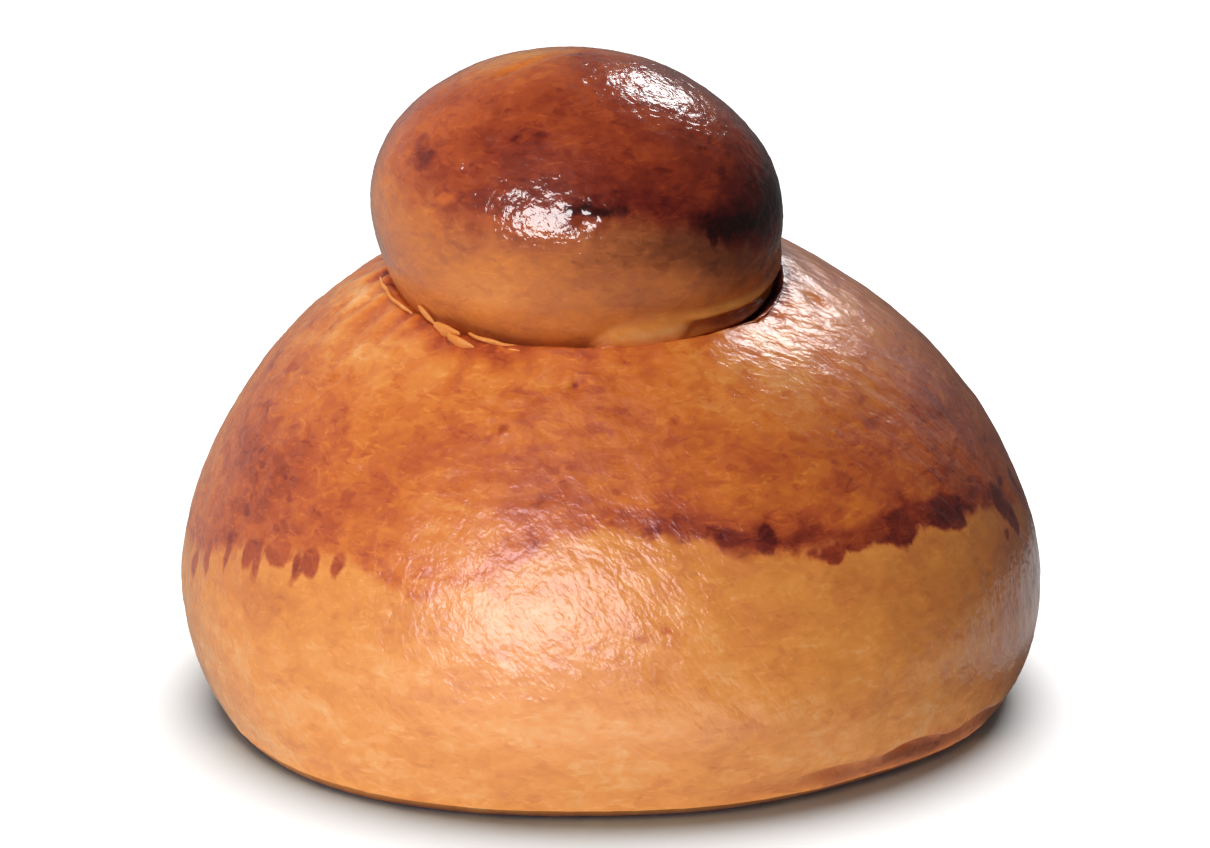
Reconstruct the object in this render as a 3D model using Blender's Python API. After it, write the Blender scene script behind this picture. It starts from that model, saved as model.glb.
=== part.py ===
"""Brioche with a topknot: a large ball of dough with a smaller ball pressed into its top.

Metres, +Z up. The origin is on the table, under the middle of the bun, and -Y is the front,
the side that the topknot sits towards.
"""

import bmesh
import bpy
import numpy as np

MM = 0.001

# The bun spread on the tray as it rose, so it is widest low down, with a flat foot under it.
BUN_RADIUS = 50.0 * MM
GIRTH_HEIGHT = 13.8 * MM      # of the widest ring
CROWN_HEIGHT = 57.0 * MM      # where the dome would end if nothing were pressed into it
DOME_POWER = 1.96             # 2 is an ellipse; less gives sloping shoulders
CROWN_POWER = 1.79            # the same for the curve over the top
CROWN_LEAN = 0.04             # share by which the dome is higher on its left than its middle
FOOT_RADIUS = 44.2 * MM
FOOT_POWER = 1.83             # 2 is a quarter ellipse from girth to foot; less is a straighter cut

# The foot isn't round: it spread to the front left, and it is drawn in at the front right.
FOOT_SPREAD = 3.2 * MM
FOOT_SPREAD_DIRECTION = np.radians(-128)
FOOT_SPREAD_HALF_ANGLE = np.radians(45)
FOOT_DRAWN_IN = 1.3 * MM
FOOT_DRAWN_IN_DIRECTION = np.radians(-52)
FOOT_DRAWN_IN_HALF_ANGLE = np.radians(30)

# There the skin folded under, just above the tray.
FOLD_DIRECTION = np.radians(-42)
FOLD_HALF_ANGLE = np.radians(34)
FOLD_HEIGHT = 2.4 * MM
FOLD_WIDTH = 1.1 * MM
FOLD_DEPTH = 0.9 * MM

# Unevenness of hand-rolled dough: (waves per turn, share of the radius, phase)
BUN_WAVES = ((3, 0.0045, 1.5), (4, 0.003, 1.5), (7, 0.0012, 1.6))
DOME_WAVES = ((2, 0.010, 1.5), (3, 0.008, 4.7), (5, 0.006, 1.6))
KNOT_WAVES = ((2, 0.008, 1.5), (3, 0.007, 1.6), (5, 0.003, 1.5))

# The topknot is a ball pressed in off centre, with its right side lower than its left.
KNOT_X = -3.8 * MM
KNOT_Y = -7.5 * MM
KNOT_HEIGHT = 59.0 * MM       # of its widest ring
KNOT_HALF_WIDTH = 23.2 * MM
KNOT_HALF_DEPTH = 22.8 * MM
KNOT_ABOVE = 17.6 * MM        # from its widest ring to its top
KNOT_BELOW = 21.0 * MM        # from its widest ring to the bottom of the well
KNOT_SLOPE = 0.046            # fall of the widest ring for each unit of X

# The well fits the topknot's underside with a gap, and its lip opens out most on the right.
WELL_GAP = 0.3 * MM
LIP_ROUND = 7.5 * MM
LIP_ROUND_MORE = 4.5 * MM     # added on the right, and taken off on the left
WELL_WALL_SLOPE = 6.0         # of the well's wall above the widest ring of the topknot

AROUND_BUN = 72
AROUND_KNOT = 56
FOOT_RINGS = 9                # from the foot's edge up to the girth
DOME_RINGS = 11               # from the girth up to the lip
LIP_RINGS = 9
WELL_RINGS = 5
KNOT_RINGS = 22
LIP_OUTSIDE = 30.0 * MM       # distances from the topknot's axis between which the lip lies
LIP_INSIDE = 15.0 * MM
ROUND_RINGS = 0.94            # share of the bun's radius beyond which the rings are centred on it


def waves(azimuth, terms):
    """Sum of cosine waves around the vertical axis."""
    return sum(share * np.cos(count * azimuth + phase) for count, share, phase in terms)


def smooth_step(value):
    value = np.clip(value, 0.0, 1.0)
    return value * value * (3.0 - 2.0 * value)


def near(azimuth, direction, half_angle):
    """1 in one direction, falling smoothly to 0 at half_angle to each side of it."""
    turn = np.angle(np.exp(1j * (azimuth - direction)))
    return smooth_step(1.0 - np.abs(turn) / half_angle)


def girth_radius(azimuth):
    return BUN_RADIUS * (1.0 + waves(azimuth, BUN_WAVES))


def dome_height(x, y):
    """Height of the bun's top before the well is pressed in."""
    azimuth = np.arctan2(y, x)
    share = np.clip(np.hypot(x, y) / girth_radius(azimuth), 0.0, 1.0)
    rise = (1.0 - share**DOME_POWER) ** (1.0 / CROWN_POWER)
    uneven = 1.0 + waves(azimuth, DOME_WAVES) * np.sin(np.pi * share)
    lean = 1.0 - CROWN_LEAN * x / BUN_RADIUS
    return GIRTH_HEIGHT + (CROWN_HEIGHT - GIRTH_HEIGHT) * rise * uneven * lean


def well_height(x, y):
    """Height of the well's floor and wall: the topknot's underside, one gap further out."""
    along = (x - KNOT_X) / (KNOT_HALF_WIDTH + WELL_GAP)
    across = (y - KNOT_Y) / (KNOT_HALF_DEPTH + WELL_GAP)
    reach = np.hypot(along, across)
    depth = (KNOT_BELOW + WELL_GAP) * np.sqrt(np.clip(1.0 - reach**2, 0.0, None))
    above = WELL_WALL_SLOPE * KNOT_HALF_WIDTH * np.clip(reach - 1.0, 0.0, None)
    return KNOT_HEIGHT - KNOT_SLOPE * (x - KNOT_X) - depth + above


def top_height(x, y):
    """The lower of dome and well, with the lip between them rounded over."""
    dome = dome_height(x, y)
    well = well_height(x, y)
    side = np.arctan2(y - KNOT_Y, x - KNOT_X)
    rounding = LIP_ROUND + LIP_ROUND_MORE * np.cos(side)
    overlap = np.clip(1.0 - np.abs(dome - well) / rounding, 0.0, None)
    return np.minimum(dome, well) - rounding * overlap**2 / 4.0


def around(count):
    return np.arange(count) * 2.0 * np.pi / count


def foot_ring(angle):
    """A ring between the foot's edge (a quarter turn) and the girth (0)."""
    azimuth = around(AROUND_BUN)
    spread = FOOT_SPREAD * near(azimuth, FOOT_SPREAD_DIRECTION, FOOT_SPREAD_HALF_ANGLE)
    drawn_in = FOOT_DRAWN_IN * near(azimuth, FOOT_DRAWN_IN_DIRECTION, FOOT_DRAWN_IN_HALF_ANGLE)
    foot = FOOT_RADIUS + spread - drawn_in
    out = np.cos(angle) ** (2.0 / FOOT_POWER)
    height = GIRTH_HEIGHT * (1.0 - np.sin(angle) ** (2.0 / FOOT_POWER))
    fold = FOLD_DEPTH * np.exp(-(((height - FOLD_HEIGHT) / FOLD_WIDTH) ** 2))
    radius = foot + (girth_radius(azimuth) - foot) * out
    radius = radius - fold * near(azimuth, FOLD_DIRECTION, FOLD_HALF_ANGLE)
    heights = np.full_like(radius, height)
    return np.stack((radius * np.cos(azimuth), radius * np.sin(azimuth), heights), 1)


def top_ring(radius):
    """A ring over the dome or in the well. Its middle moves from the bun's axis to the topknot's."""
    azimuth = around(AROUND_BUN)
    outer = ROUND_RINGS * BUN_RADIUS
    towards_knot = smooth_step((outer - radius) / (outer - LIP_OUTSIDE))
    radii = radius * (1.0 + waves(azimuth, BUN_WAVES) * (1.0 - towards_knot))
    x = KNOT_X * towards_knot + radii * np.cos(azimuth)
    y = KNOT_Y * towards_knot + radii * np.sin(azimuth)
    return np.stack((x, y, top_height(x, y)), 1)


def bun_rings():
    """The bun's rings from the edge of its foot, up its side and over, to the bottom of the well."""
    for angle in np.linspace(np.pi / 2, 0.0, FOOT_RINGS, endpoint=False):
        yield foot_ring(angle)
    lip_angle = np.arccos((LIP_OUTSIDE / BUN_RADIUS) ** (DOME_POWER / 2))
    for angle in np.linspace(0.0, lip_angle, DOME_RINGS, endpoint=False):
        yield top_ring(BUN_RADIUS * np.cos(angle) ** (2.0 / DOME_POWER))
    for radius in np.linspace(LIP_OUTSIDE, LIP_INSIDE, LIP_RINGS, endpoint=False):
        yield top_ring(radius)
    for radius in np.linspace(LIP_INSIDE, 0.0, WELL_RINGS, endpoint=False):
        yield top_ring(radius)


def knot_rings():
    """The topknot's rings from near its underside to near its top."""
    azimuth = around(AROUND_KNOT)
    for latitude in np.linspace(-np.pi / 2, np.pi / 2, KNOT_RINGS + 2)[1:-1]:
        # The underside took the well's shape, so the unevenness begins at the widest ring.
        uneven = 1.0 + waves(azimuth, KNOT_WAVES) * smooth_step(np.sin(latitude) * 2.0)
        reach = np.cos(latitude) * uneven
        x = KNOT_HALF_WIDTH * reach * np.cos(azimuth)
        y = KNOT_HALF_DEPTH * reach * np.sin(azimuth)
        half_height = KNOT_ABOVE if latitude > 0 else KNOT_BELOW
        z = KNOT_HEIGHT + half_height * np.sin(latitude) - KNOT_SLOPE * x
        yield np.stack((KNOT_X + x, KNOT_Y + y, z), 1)


def skin_rings(name, rings, first_pole, last_pole, material):
    """One closed body through the rings, each end drawn in to its pole."""
    mesh = bpy.data.meshes.new(name)
    skin = bmesh.new()
    loops = [[skin.verts.new(point) for point in ring] for ring in rings]
    for lower, upper in zip(loops, loops[1:]):
        for i, corner in enumerate(lower):
            j = (i + 1) % len(lower)
            skin.faces.new((corner, lower[j], upper[j], upper[i]))
    for loop, place in ((loops[0][::-1], first_pole), (loops[-1], last_pole)):
        pole = skin.verts.new(place)
        for i, corner in enumerate(loop):
            skin.faces.new((corner, loop[(i + 1) % len(loop)], pole))
    skin.to_mesh(mesh)
    skin.free()
    mesh.shade_smooth()
    mesh.materials.append(material)
    piece = bpy.data.objects.new(name, mesh)
    bpy.context.scene.collection.objects.link(piece)
    return piece


def crust(name, colour, roughness):
    material = bpy.data.materials.new(name)
    material.use_nodes = True
    shader = material.node_tree.nodes["Principled BSDF"]
    shader.inputs["Base Color"].default_value = (*colour, 1.0)
    shader.inputs["Roughness"].default_value = roughness
    shader.inputs["Metallic"].default_value = 0.0
    return material


def make_bun():
    foot_middle = (0.0, 0.0, 0.0)
    well_bottom = (KNOT_X, KNOT_Y, float(top_height(KNOT_X, KNOT_Y)))
    golden = crust("golden crust", (0.62, 0.26, 0.07), 0.38)
    return skin_rings("bun", bun_rings(), foot_middle, well_bottom, golden)


def make_topknot():
    underside = (KNOT_X, KNOT_Y, KNOT_HEIGHT - KNOT_BELOW)
    top = (KNOT_X, KNOT_Y, KNOT_HEIGHT + KNOT_ABOVE)
    mahogany = crust("mahogany crust", (0.26, 0.07, 0.025), 0.28)
    return skin_rings("topknot", knot_rings(), underside, top, mahogany)


def centre_on_origin(pieces):
    """Moves the pieces together, so that the middle of their widths is over the origin."""
    places = np.array([corner.co for piece in pieces for corner in piece.data.vertices])
    middle = (places.min(axis=0) + places.max(axis=0)) / 2
    for piece in pieces:
        piece.location = (-middle[0], -middle[1], 0.0)


for thing in list(bpy.data.objects):
    bpy.data.objects.remove(thing)

centre_on_origin([make_bun(), make_topknot()])
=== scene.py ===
# %% [markdown]
# # A brioche with a topknot
#
# This bread is two balls of soft, buttery dough. The small one is pressed into the top of the
# large one, both are brushed with beaten egg, and they bake as one loaf. The egg makes a thin
# glossy glaze, and the oven browns whatever it reaches first: the topknot and the shoulders.
# The sides near the tray stay gold.
#
# The solid parts come from a CAD model, which is loaded first and never changed. This script
# makes a finer skin for each part: wrinkles, blisters, torn edges, and a crust whose colour is
# worked out by nodes. Lengths are in millimetres until a mesh is made.

# %% Load the fixed frame
import math

import bpy
import numpy as np
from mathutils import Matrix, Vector, noise


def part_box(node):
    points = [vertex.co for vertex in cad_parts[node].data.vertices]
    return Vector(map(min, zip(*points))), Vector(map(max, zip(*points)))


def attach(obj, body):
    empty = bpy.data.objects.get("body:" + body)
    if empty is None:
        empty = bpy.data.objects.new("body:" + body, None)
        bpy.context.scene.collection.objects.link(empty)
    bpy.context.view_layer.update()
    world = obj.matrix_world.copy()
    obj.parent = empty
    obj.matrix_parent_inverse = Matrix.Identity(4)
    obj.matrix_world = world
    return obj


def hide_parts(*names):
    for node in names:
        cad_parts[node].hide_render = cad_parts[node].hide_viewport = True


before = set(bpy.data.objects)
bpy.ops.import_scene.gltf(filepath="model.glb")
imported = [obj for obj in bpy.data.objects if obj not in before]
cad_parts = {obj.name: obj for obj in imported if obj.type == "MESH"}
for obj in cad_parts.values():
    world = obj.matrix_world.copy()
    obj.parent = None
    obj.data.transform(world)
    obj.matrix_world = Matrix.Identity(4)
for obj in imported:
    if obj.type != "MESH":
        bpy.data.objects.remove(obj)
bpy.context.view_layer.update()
MM = 0.001

bun_low, bun_high = (np.array(corner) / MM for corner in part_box("bun"))
knot_low, knot_high = (np.array(corner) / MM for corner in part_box("topknot"))
print("bun", bun_low.round(1), bun_high.round(1))
print("topknot", knot_low.round(1), knot_high.round(1))

# %% [markdown]
# ## Small helpers for uneven dough
#
# Nothing on a loaf is straight or even, so most shapes below are a smooth form plus noise.
# Noise is a random landscape that is the same on every run. Its `size` is the distance in
# millimetres from one lump to the next, so each use can be checked against real dough.

# %% Noise, steps and windows
SEED_SHIFT = 19.7       # moves each seed to a part of the noise that no other one uses
RIDGE_RISE = 2.5        # how fast a crease rises from its line
TINY = 1e-9             # keeps a division defined where there is nothing to divide by


def lumps(points, size, seed=0):
    """Smooth noise from about -1 to 1 at each point."""
    places = points.reshape(-1, 3) / size + seed * SEED_SHIFT
    values = [noise.noise(place) for place in places.tolist()]
    return np.array(values).reshape(points.shape[:-1])


def creases(points, size, seed=0):
    """0 along thin wandering lines, growing to about 1 in the cells between them."""
    return np.clip(np.abs(lumps(points, size, seed)) * RIDGE_RISE, 0.0, 1.0)


def swells(points, terms):
    """Soft unevenness. Each term is (height in mm, size in mm, seed)."""
    return sum(height * lumps(points, size, seed) for height, size, seed in terms)


def leather(points, terms):
    """Shallow cells cut by fine creases. Each term is (depth in mm, size in mm, seed)."""
    return -sum(depth * creases(points, size, seed) for depth, size, seed in terms)


def smooth_step(value):
    """From 0 to 1 as value goes from 0 to 1, with a soft start and a soft end."""
    value = np.clip(value, 0.0, 1.0)
    return value * value * (3.0 - 2.0 * value)


def hump(value, middle, half_width):
    """A bell curve: 1 at the middle, about a third at half_width."""
    return np.exp(-(((value - middle) / half_width) ** 2))


def turn_from(angle, direction):
    """The angle in degrees between two directions around the loaf, from -180 to 180."""
    return (angle - direction + 180.0) % 360.0 - 180.0


# %% [markdown]
# ## The bun's form
#
# The bun spread on the tray while it rose. It is widest low down, its foot is flat, and its
# dome is a little higher on the left. A ring of waves around it stands for hand shaping.
# The form is built from rings, like a pot on a wheel: each ring is a loop of points, and the
# rings climb from the foot over the dome and down into the well under the topknot.

# %% Sizes of the bun
BUN_RADIUS = 50.0
GIRTH_HEIGHT = 13.8
CROWN_HEIGHT = 57.0
DOME_POWER = 1.96
CROWN_POWER = 1.79
CROWN_LEAN = 0.04
FOOT_RADIUS = 44.2
FOOT_POWER = 1.83
BUN_WAVES = ((3, 0.0045, 1.5), (4, 0.003, 1.5), (7, 0.0012, 1.6))
DOME_WAVES = ((2, 0.010, 1.5), (3, 0.008, 4.7), (5, 0.006, 1.6))
AROUND_BUN = 432


def waves(azimuth, terms):
    """Waves around the loaf. Each term is (how many, height as a share, phase)."""
    return sum(share * np.cos(count * azimuth + phase) for count, share, phase in terms)


def girth_radius(azimuth):
    return BUN_RADIUS * (1.0 + waves(azimuth, BUN_WAVES))


bun_azimuth = np.arange(AROUND_BUN) * 2.0 * np.pi / AROUND_BUN
outline = np.stack((girth_radius(bun_azimuth) * np.cos(bun_azimuth),
                    girth_radius(bun_azimuth) * np.sin(bun_azimuth)), 1)
bun_axis = bun_low[:2] - outline.min(axis=0)
print("the bun's axis stands at", bun_axis.round(2), "mm")

# %% [markdown]
# ## The topknot's form
#
# The topknot is a slightly flattened ball, deeper below its widest ring than above it. Its
# place comes from the CAD box: the ball stands in the middle of it and touches its top.

# %% Sizes of the topknot
KNOT_WAVES = ((2, 0.008, 1.5), (3, 0.007, 1.6), (5, 0.003, 1.5))
KNOT_ABOVE = 17.6             # from the widest ring up to the top
KNOT_BELOW = 21.0
KNOT_SLOPE = 0.046            # how steeply that ring falls to the right
KNOT_HALF_WIDTH = 23.2
KNOT_HALF_DEPTH = 22.8
AROUND_KNOT = 400
KNOT_RINGS = 200

knot_middle = (knot_low + knot_high)[:2] / 2.0 - bun_axis
knot_height = knot_high[2] - KNOT_ABOVE
print("the topknot stands", knot_middle.round(2), "mm from the bun's axis")

# %% [markdown]
# ## The well and its lip
#
# Where the topknot was pressed in, the bun's skin dips into a well that fits the ball. The lip
# between dome and well is rounded: the lower of the two heights is taken, and where they
# nearly meet a little is shaved off. The skin clings to the ball in front and at the sides,
# and stands off a little at the back. At the front right it came away and left a small hollow.

# %% Height of the bun's top
LIP_TURNS = (-180, -90, -60, 0, 35, 60, 78, 98, 115, 180)     # 0 is the front, 90 the right
LIP_ROUNDS = (4.5, 3.0, 3.4, 7.5, 10.0, 8.0, 4.5, 4.0, 4.5, 4.5)
LIP_GAPS = (0.3, -0.3, -0.6, -0.6, -0.1, 0.0, 0.5, -0.4, -0.4, 0.3)      # less than 0 clings
WELL_WALL_SLOPE = 6.0


def dome_height(x, y):
    azimuth = np.arctan2(y, x)
    share = np.clip(np.hypot(x, y) / girth_radius(azimuth), 0.0, 1.0)
    rise = (1.0 - share**DOME_POWER) ** (1.0 / CROWN_POWER)
    uneven = 1.0 + waves(azimuth, DOME_WAVES) * np.sin(np.pi * share)
    lean = 1.0 - CROWN_LEAN * x / BUN_RADIUS
    return GIRTH_HEIGHT + (CROWN_HEIGHT - GIRTH_HEIGHT) * rise * uneven * lean


def knot_turn(x, y):
    return np.degrees(np.arctan2(x - knot_middle[0], knot_middle[1] - y))


def well_height(x, y):
    gap = np.interp(knot_turn(x, y), LIP_TURNS, LIP_GAPS)
    along = (x - knot_middle[0]) / (KNOT_HALF_WIDTH + gap)
    across = (y - knot_middle[1]) / (KNOT_HALF_DEPTH + gap)
    reach = np.hypot(along, across)
    depth = (KNOT_BELOW + gap) * np.sqrt(np.clip(1.0 - reach**2, 0.0, None))
    wall = WELL_WALL_SLOPE * KNOT_HALF_WIDTH * np.clip(reach - 1.0, 0.0, None)
    return knot_height - KNOT_SLOPE * (x - knot_middle[0]) - depth + wall


def top_height(x, y):
    dome = dome_height(x, y)
    well = well_height(x, y)
    rounding = np.interp(knot_turn(x, y), LIP_TURNS, LIP_ROUNDS)
    overlap = np.clip(1.0 - np.abs(dome - well) / rounding, 0.0, None)
    return np.minimum(dome, well) - rounding * overlap**2 / 4.0


lip_place = knot_middle - (0.0, KNOT_HALF_DEPTH)
print("lip in front of the topknot:", top_height(*lip_place).round(1), "mm high")

# %% [markdown]
# ## Rings of the bun
#
# The foot isn't quite round: it spread to the front left and is drawn in at the front right.
# The rings near the top are centred on the topknot's axis, so that the lip, which needs the
# most detail, is followed evenly.

# %% The bun's rings
# How far in mm, towards which azimuth, and how many degrees to each side
FOOT_SPREAD, SPREAD_AT, SPREAD_HALF = 3.2, -128.0, 45.0
DRAWN_IN, DRAWN_AT, DRAWN_HALF = 1.3, -52.0, 30.0
UNDER_RINGS = (0.25, 0.5, 0.75, 0.9, 0.97)   # shares of the foot's radius
FOOT_RINGS, DOME_RINGS, LIP_RINGS, WELL_RINGS = 56, 76, 66, 16
LIP_OUTSIDE, LIP_INSIDE = 30.0, 15.0         # mm from the topknot's axis
ROUND_RINGS = 0.94            # rings wider than this share of the bun stay on its own axis


def near(azimuth, direction, half_angle):
    """1 towards the direction, falling to 0 at half_angle degrees from it."""
    return smooth_step(1.0 - np.abs(turn_from(np.degrees(azimuth), direction)) / half_angle)


def foot_ring(angle):
    foot = (FOOT_RADIUS + FOOT_SPREAD * near(bun_azimuth, SPREAD_AT, SPREAD_HALF)
            - DRAWN_IN * near(bun_azimuth, DRAWN_AT, DRAWN_HALF))
    out = math.cos(angle) ** (2.0 / FOOT_POWER)
    height = GIRTH_HEIGHT * (1.0 - math.sin(angle) ** (2.0 / FOOT_POWER))
    radius = foot + (girth_radius(bun_azimuth) - foot) * out
    return np.stack((radius * np.cos(bun_azimuth), radius * np.sin(bun_azimuth),
                     np.full(AROUND_BUN, height)), 1)


def top_ring(radius):
    outer = ROUND_RINGS * BUN_RADIUS
    to_knot = smooth_step((outer - radius) / (outer - LIP_OUTSIDE))
    radii = radius * (1.0 + waves(bun_azimuth, BUN_WAVES) * (1.0 - to_knot))
    x = knot_middle[0] * to_knot + radii * np.cos(bun_azimuth)
    y = knot_middle[1] * to_knot + radii * np.sin(bun_azimuth)
    return np.stack((x, y, top_height(x, y)), 1)


foot_edge = foot_ring(math.pi / 2)
lip_angle = math.acos((LIP_OUTSIDE / BUN_RADIUS) ** (DOME_POWER / 2))
bun_rings = np.array(
    [foot_edge * share for share in UNDER_RINGS]
    + [foot_ring(a) for a in np.linspace(math.pi / 2, 0.0, FOOT_RINGS, endpoint=False)]
    + [top_ring(BUN_RADIUS * math.cos(a) ** (2.0 / DOME_POWER))
       for a in np.linspace(0.0, lip_angle, DOME_RINGS, endpoint=False)]
    + [top_ring(r) for r in np.linspace(LIP_OUTSIDE, LIP_INSIDE, LIP_RINGS, endpoint=False)]
    + [top_ring(r) for r in np.linspace(LIP_INSIDE, 0.0, WELL_RINGS, endpoint=False)])
print("the bun has", bun_rings.shape[0], "rings of", AROUND_BUN, "points")

# %% [markdown]
# ## Where a point lies
#
# Marks on the loaf are easier to place by turn and height than by x, y and z. A turn is the
# direction around an upright axis in degrees: 0 faces the front, 90 the right, -90 the left
# and 180 the back. The bun's marks turn around its own axis, the lip's around the topknot's.

# %% Turns and directions


def turn_of(points, middle=(0.0, 0.0)):
    return np.degrees(np.arctan2(points[..., 0] - middle[0], -(points[..., 1] - middle[1])))


def distance_from(points, middle):
    return np.hypot(points[..., 0] - middle[0], points[..., 1] - middle[1])


def outward(rings):
    """The direction straight out of the skin at each point of a stack of rings."""
    around = np.roll(rings, -1, axis=1) - np.roll(rings, 1, axis=1)
    upward = np.gradient(rings, axis=0)
    direction = np.cross(around, upward)
    return direction / np.maximum(np.linalg.norm(direction, axis=2, keepdims=True), TINY)


# %% [markdown]
# ## The bun's skin
#
# A baked skin is leathery. It dried before the crumb stopped growing, so it is covered in
# shallow cells a few millimetres across with fine ridges between them, all drawn out in the
# direction in which the dough was rolled. Around the topknot it puckered into short folds
# that point at the knot, mostly on the left and at the right. All of it is real relief here,
# because it breaks up the reflections in the glaze and shows along the outline.

# %% Relief of the bun
ROLLED = np.array((0.62, 0.16, -0.77))    # the direction the dough was rolled in
DRAWN_OUT = 2.6                           # cells are this many times longer than wide


def rolled(points):
    """Squeezes space along the rolling direction, so that noise comes out drawn that way."""
    along = points @ ROLLED
    return points - along[..., None] * ROLLED * (1.0 - 1.0 / DRAWN_OUT)


FOLDS_PER_RADIAN, FOLDS_PER_MM = 11.0, 0.26      # close together around the knot, long outwards
PUCKERED_EVERYWHERE = 0.2
PUCKERED_SIDES = ((-88.0, 30.0, 1.0),     # (turn, half width in degrees, strength)
                  (108.0, 38.0, 0.5),
                  (180.0, 40.0, 0.4))
PUCKERS_START, PUCKERS_END = 18.5, 32.0   # mm from the topknot's axis
PUCKERS_RISE, PUCKERS_FADE = 2.5, 8.0     # mm over which they set in and fade


def puckers(points):
    """Folds that point at the topknot, and how strongly they show."""
    turn = np.radians(turn_of(points, knot_middle))
    distance = distance_from(points, knot_middle)
    wheel = np.stack((np.sin(turn) * FOLDS_PER_RADIAN, -np.cos(turn) * FOLDS_PER_RADIAN,
                      distance * FOLDS_PER_MM), -1)
    fold = lumps(wheel, 1.0, seed=3)
    wide = np.degrees(turn)
    side = sum((strength * hump(turn_from(wide, direction), 0.0, half_width)
                for direction, half_width, strength in PUCKERED_SIDES), PUCKERED_EVERYWHERE)
    window = (smooth_step((distance - PUCKERS_START) / PUCKERS_RISE)
              * smooth_step((PUCKERS_END - distance) / PUCKERS_FADE))
    return fold, side * window


def pits(points, places):
    """Small round pin-holes: (turn, height, radius, depth). Less than no depth is a blister."""
    turn = turn_of(points)
    relief = np.zeros(points.shape[:-1])
    reach = np.hypot(points[..., 0], points[..., 1])
    for direction, height, radius, depth in places:
        aside = np.radians(turn_from(turn, direction)) * reach
        relief -= depth * np.exp(-(aside**2 + (points[..., 2] - height) ** 2) / radius**2)
    return relief


BUN_PITS = ((-57.0, 42.2, 0.6, 0.45), (-7.0, 44.9, 0.7, 0.35), (-40.0, 35.4, 0.6, 0.3),
            (-18.0, 40.6, 0.6, -0.2), (62.0, 49.2, 0.9, 0.35), (24.0, 18.0, 0.5, 0.3))
FOLD_TURN, FOLD_HALF = 45.0, 36.0
FOLD_HEIGHT, FOLD_WIDTH, FOLD_DEPTH = 2.9, 1.0, 1.9
FOLD_WANDER, WANDER_SIZE = 1.1, 8.0       # how far it strays up and down, and over what length
TUCK_MEAN, TUCK_SWING, TUCK_SIZE = 0.75, 0.7, 3.4       # some stretches are tucked in deeper


def base_fold(points):
    """The crease at the front right, where the skin tucked under just above the tray."""
    turn = turn_of(points)
    where = smooth_step(1.0 - np.abs(turn_from(turn, FOLD_TURN)) / FOLD_HALF)
    wander = lumps(points * (1.0, 1.0, 0.0), WANDER_SIZE, seed=8)
    height = FOLD_HEIGHT + FOLD_WANDER * wander
    tucks = TUCK_MEAN + TUCK_SWING * lumps(points * (1.0, 1.0, 0.3), TUCK_SIZE, seed=9)
    return -FOLD_DEPTH * where * hump(points[..., 2], height, FOLD_WIDTH) * tucks


HOLLOW_TURN, HOLLOW_HALF, HOLLOW_DEPTH = 62.0, 16.0, 1.0
HOLLOW_DISTANCE, HOLLOW_WIDTH = 23.0, 3.6               # mm from the topknot's axis


def hollow(points):
    """The dip in the lip at the front right, where the skin came away from the topknot."""
    turn = turn_of(points, knot_middle)
    distance = distance_from(points, knot_middle)
    return (-HOLLOW_DEPTH * hump(turn, HOLLOW_TURN, HOLLOW_HALF)
            * hump(distance, HOLLOW_DISTANCE, HOLLOW_WIDTH))


BUN_SWELLS = ((0.22, 15.0, 1), (0.13, 6.5, 2))
BUN_LEATHER = ((0.10, 2.6, 4), (0.02, 1.4, 5))
PUCKER_HEIGHT = 0.45
WELL_EDGE = 19.0              # inside this distance the hidden skin of the well stays smooth
SMOOTH_RIM = 1.6              # and so does the rim that lay on the tray
RELIEF_OVER = 3.0             # mm over which the relief sets in beside a hidden part


def bun_relief(points):
    """How far the skin stands out from the smooth form, in millimetres."""
    skin = swells(points, BUN_SWELLS) + leather(rolled(points), BUN_LEATHER)
    fold, strength = puckers(points)
    distance = distance_from(points, knot_middle)
    clear = smooth_step((distance - WELL_EDGE) / RELIEF_OVER)
    above_tray = smooth_step(points[..., 2] / SMOOTH_RIM)
    even = (skin + pits(points, BUN_PITS)) * clear
    folds = PUCKER_HEIGHT * fold * strength
    return (even + folds + hollow(points) + base_fold(points)) * above_tray


bun_out = outward(bun_rings)
bun_stand = bun_relief(bun_rings)
bun_skin = bun_rings + bun_out * bun_stand[..., None]
print("bun relief from", bun_stand.min().round(2), "to", bun_stand.max().round(2), "mm")

# %% [markdown]
# ## The topknot's skin
#
# The topknot browned most, and its glaze boiled a little as it set. So its skin has finer,
# rounder blisters than the bun's. Below its widest ring they die down towards the seam.
#
# At the front right the rising loaf tore the skin around the seam, and a flap of it hangs on
# the topknot like a short skirt. It is thick and rounded at its left. Further right it splits
# into two thin rims with a dip between them. The flap is relief on the topknot's own skin,
# because it never comes away from it.

# %% Relief of the topknot
KNOT_PITS = ((-1.0, 63.4, 0.8, -0.30), (4.0, 63.2, 0.7, -0.26), (7.5, 62.4, 0.7, -0.26),
             (-55.0, 75.7, 0.7, 0.35), (-30.0, 69.7, 0.7, 0.35), (-36.0, 66.8, 0.6, 0.3),
             (2.0, 62.3, 0.5, 0.3), (38.0, 59.6, 0.8, 0.2))

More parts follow.
